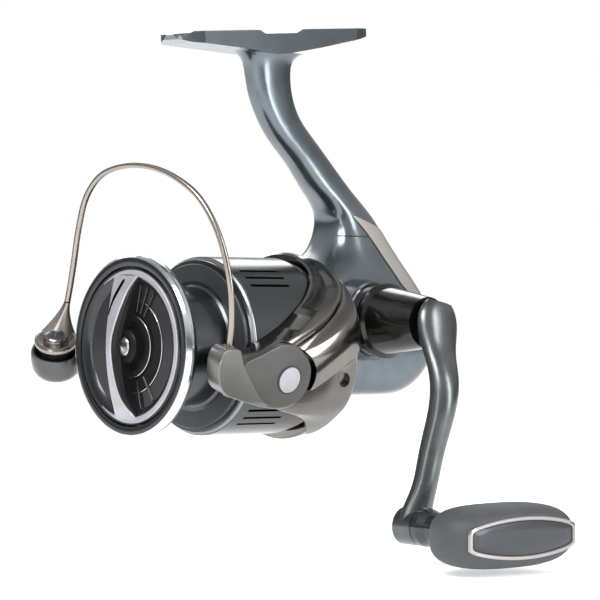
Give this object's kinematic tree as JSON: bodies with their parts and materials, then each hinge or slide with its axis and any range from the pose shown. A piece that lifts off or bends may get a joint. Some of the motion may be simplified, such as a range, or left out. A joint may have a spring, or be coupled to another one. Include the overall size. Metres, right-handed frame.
{
  "type": "spinning reel",
  "caption": "Spinning fishing reel with rod foot, geared crank and T knob, rotor with swinging bail and line roller, stroking spool and front drag knob.",
  "frame": {"origin": "middle of the top face of the rod foot", "axes": "X runs back along the spool shaft with the spool at -X, crank and knob on the -Y side, foot up at +Z"},
  "size_m": [0.1081, 0.1334, 0.143],
  "materials": {
    "body_paint": "gloss blue-grey metallic paint",
    "guard_metal": "pale champagne satin",
    "seat_metal": "turned rings",
    "bearing_steel": "ground steel",
    "screw_steel": "dark polished",
    "inner_plastic": "moulded",
    "gear_alloy": "machined",
    "gear_brass": "machined",
    "crank_gunmetal": "gloss anodised gunmetal",
    "grip_rubber": "matte",
    "neck_gloss": "gloss",
    "knob_silver": "satin silver",
    "knob_panel_dark": "satin dark",
    "spool_gunmetal": "gloss anodised",
    "lip_silver": "polished",
    "washer_felt": "woven carbon felt",
    "drag_black": "satin black anodised",
    "trim_silver": "satin silver",
    "rotor_gunmetal": "polished gunmetal",
    "holder_metal": "satin grey",
    "wire_titanium": "satin champagne titanium",
    "cap_silver": "polished",
    "roller_black": "hard gloss black"
  },
  "bodies": {
    "frame": {"frame_housing": "body_paint", "side_plate": "body_paint", "housing_screws": "screw_steel", "rear_guard": "guard_metal", "handle_seat_ring": "seat_metal", "drive_bearing_crank_side": "bearing_steel", "drive_bearing_far_side": "bearing_steel", "axle_cap": "body_paint", "clutch_housing": "inner_plastic", "roller_clutch": "bearing_steel", "pinion_bearing": "bearing_steel", "clutch_screws": "screw_steel", "worm_bushes": "inner_plastic", "guide_rail": "bearing_steel"},
    "crank": {"handle_collar": "crank_gunmetal", "handle_arm": "crank_gunmetal", "drive_shaft": "bearing_steel", "drive_gear": "gear_alloy", "knob_pin": "bearing_steel", "handle_spacer": "inner_plastic"},
    "knob": {"knob_grip": "grip_rubber", "knob_neck": "neck_gloss", "knob_bearings": "bearing_steel", "knob_frame": "knob_silver", "knob_panel": "knob_panel_dark"},
    "shaft": {"main_shaft": "bearing_steel", "spool_support": "inner_plastic", "click_ratchet": "inner_plastic", "slider_block": "gear_alloy", "slider_pin": "bearing_steel", "slider_screw": "screw_steel"},
    "spool": {"spool": "spool_gunmetal", "spool_lip": "lip_silver", "drag_washers": "washer_felt", "drag_retainer": "bearing_steel", "spool_bearings": "bearing_steel"},
    "drag_knob": {"drag_knob": "drag_black", "drag_knob_trim": "trim_silver", "drag_nut": "drag_black", "drag_nut_cap": "drag_black", "drag_spring": "bearing_steel"},
    "worm": {"worm_shaft": "bearing_steel", "worm_gear": "gear_brass"},
    "rotor": {"rotor": "rotor_gunmetal", "arm_cover_wire_side": "rotor_gunmetal", "arm_cover_roller_side": "rotor_gunmetal", "cover_screws": "screw_steel", "pinion_gear": "gear_brass", "clutch_sleeve": "bearing_steel", "rotor_nut": "screw_steel", "nut_retainer": "bearing_steel"},
    "bail": {"bail_holder": "holder_metal", "bail_wire": "wire_titanium", "bail_pivot_cap": "cap_silver", "bail_arm": "holder_metal", "bail_pivot_screw": "cap_silver", "roller_cover": "wire_titanium", "roller_bolt": "screw_steel", "roller_bearing": "bearing_steel"},
    "line_roller": {"line_roller": "roller_black"}
  },
  "joints": [
    {"name": "crank_turn", "type": "hinge", "parent": "frame", "child": "crank", "pos_m": [0.01203, -0.03, -0.0796], "axis": [0, -1, 0], "continuous": true},
    {"name": "knob_spin", "type": "hinge", "parent": "crank", "child": "knob", "pos_m": [-0.00049, -0.07, -0.13315], "axis": [0, -1, 0], "continuous": true},
    {"name": "rotor_turn", "type": "hinge", "parent": "frame", "child": "rotor", "pos_m": [-0.01797, 0, -0.08715], "axis": [-1, 0, 0], "continuous": true},
    {"name": "worm_turn", "type": "hinge", "parent": "frame", "child": "worm", "pos_m": [0.02003, 0.007, -0.09315], "axis": [-1, 0, 0], "continuous": true},
    {"name": "spool_stroke", "type": "slide", "parent": "frame", "child": "shaft", "axis": [-1, 0, 0], "range_m": [-0.0035, 0.012]},
    {"name": "spool_drag_turn", "type": "hinge", "parent": "shaft", "child": "spool", "pos_m": [-0.04297, 0, -0.08715], "axis": [-1, 0, 0], "continuous": true},
    {"name": "drag_adjust", "type": "hinge", "parent": "shaft", "child": "drag_knob", "pos_m": [-0.05597, 0, -0.08715], "axis": [-1, 0, 0], "range_deg": [-360, 360]},
    {"name": "bail_swing", "type": "hinge", "parent": "rotor", "child": "bail", "pos_m": [-0.02567, 0, -0.08715], "axis": [0, -0.9659, -0.2588], "range_deg": [0, 90]},
    {"name": "line_roller_spin", "type": "hinge", "parent": "bail", "child": "line_roller", "pos_m": [-0.05607, 0.03182, -0.08959], "axis": [-0.3698, -0.4188, 0.8294], "continuous": true}
  ],
  "couplings": [
    {"joint": "rotor_turn", "follows": "crank_turn", "ratio": 6},
    {"joint": "worm_turn", "follows": "crank_turn", "ratio": -2.7}
  ]
}
